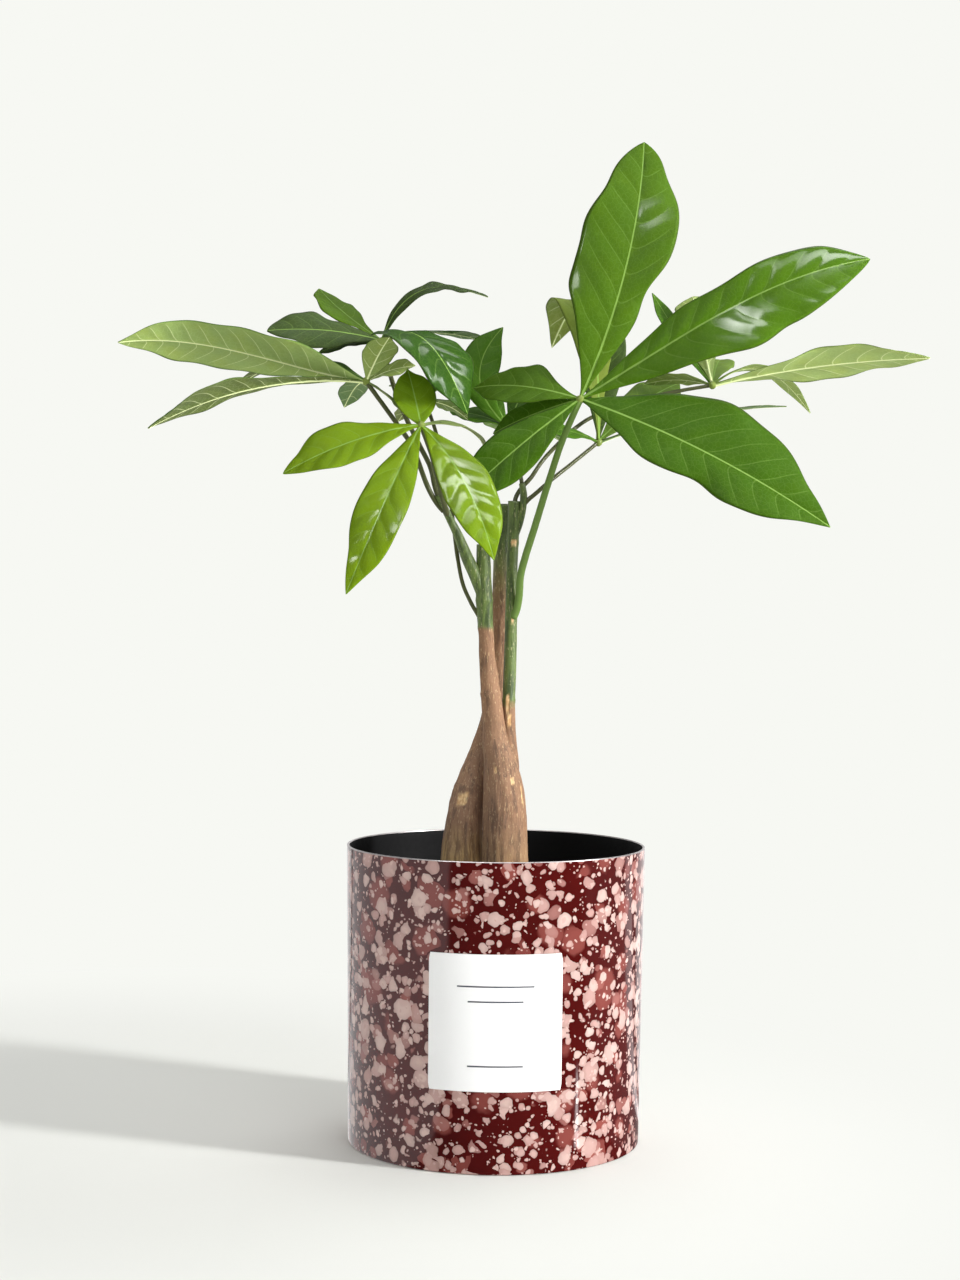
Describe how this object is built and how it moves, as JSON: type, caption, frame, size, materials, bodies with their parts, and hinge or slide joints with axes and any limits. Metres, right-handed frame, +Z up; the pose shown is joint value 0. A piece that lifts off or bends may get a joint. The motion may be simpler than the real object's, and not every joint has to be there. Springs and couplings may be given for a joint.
{
  "type": "potted money tree",
  "caption": "Young money tree with crossing saplings and palmate leaves, in a nursery pot inside a round splatter-finish cover pot with a bare label.",
  "frame": {"origin": "middle of the cover pot's flat underside, on the surface it stands on", "axes": "+Z is up, -Y is the front, where the label is, and +X is to the right as seen from the front"},
  "size_m": [0.4062, 0.1516, 0.498],
  "materials": {
    "pot_lacquer": "high-gloss maroon lacquer with a white and dusty-pink splatter",
    "label_paper": "bare smooth white paper",
    "nursery_plastic": "matte black plastic",
    "soil_peat": "dark crumbly peat",
    "bark": "brown fissured bark that turns green up the stems",
    "leaf_green": "waxy green leaf, glossy above and paler below"
  },
  "bodies": {
    "root": {"pot": "pot_lacquer", "label": "label_paper", "nursery_pot": "nursery_plastic", "soil": "soil_peat", "trunk_left": "bark", "trunk_front": "bark", "leaf_front_right": "leaf_green", "leaf_front_left": "leaf_green", "leaf_far_left": "leaf_green", "leaf_top_left": "leaf_green", "leaf_centre": "leaf_green", "leaf_back_centre": "leaf_green", "leaf_far_right": "leaf_green", "leaf_back_left": "leaf_green"}
  },
  "joints": []
}
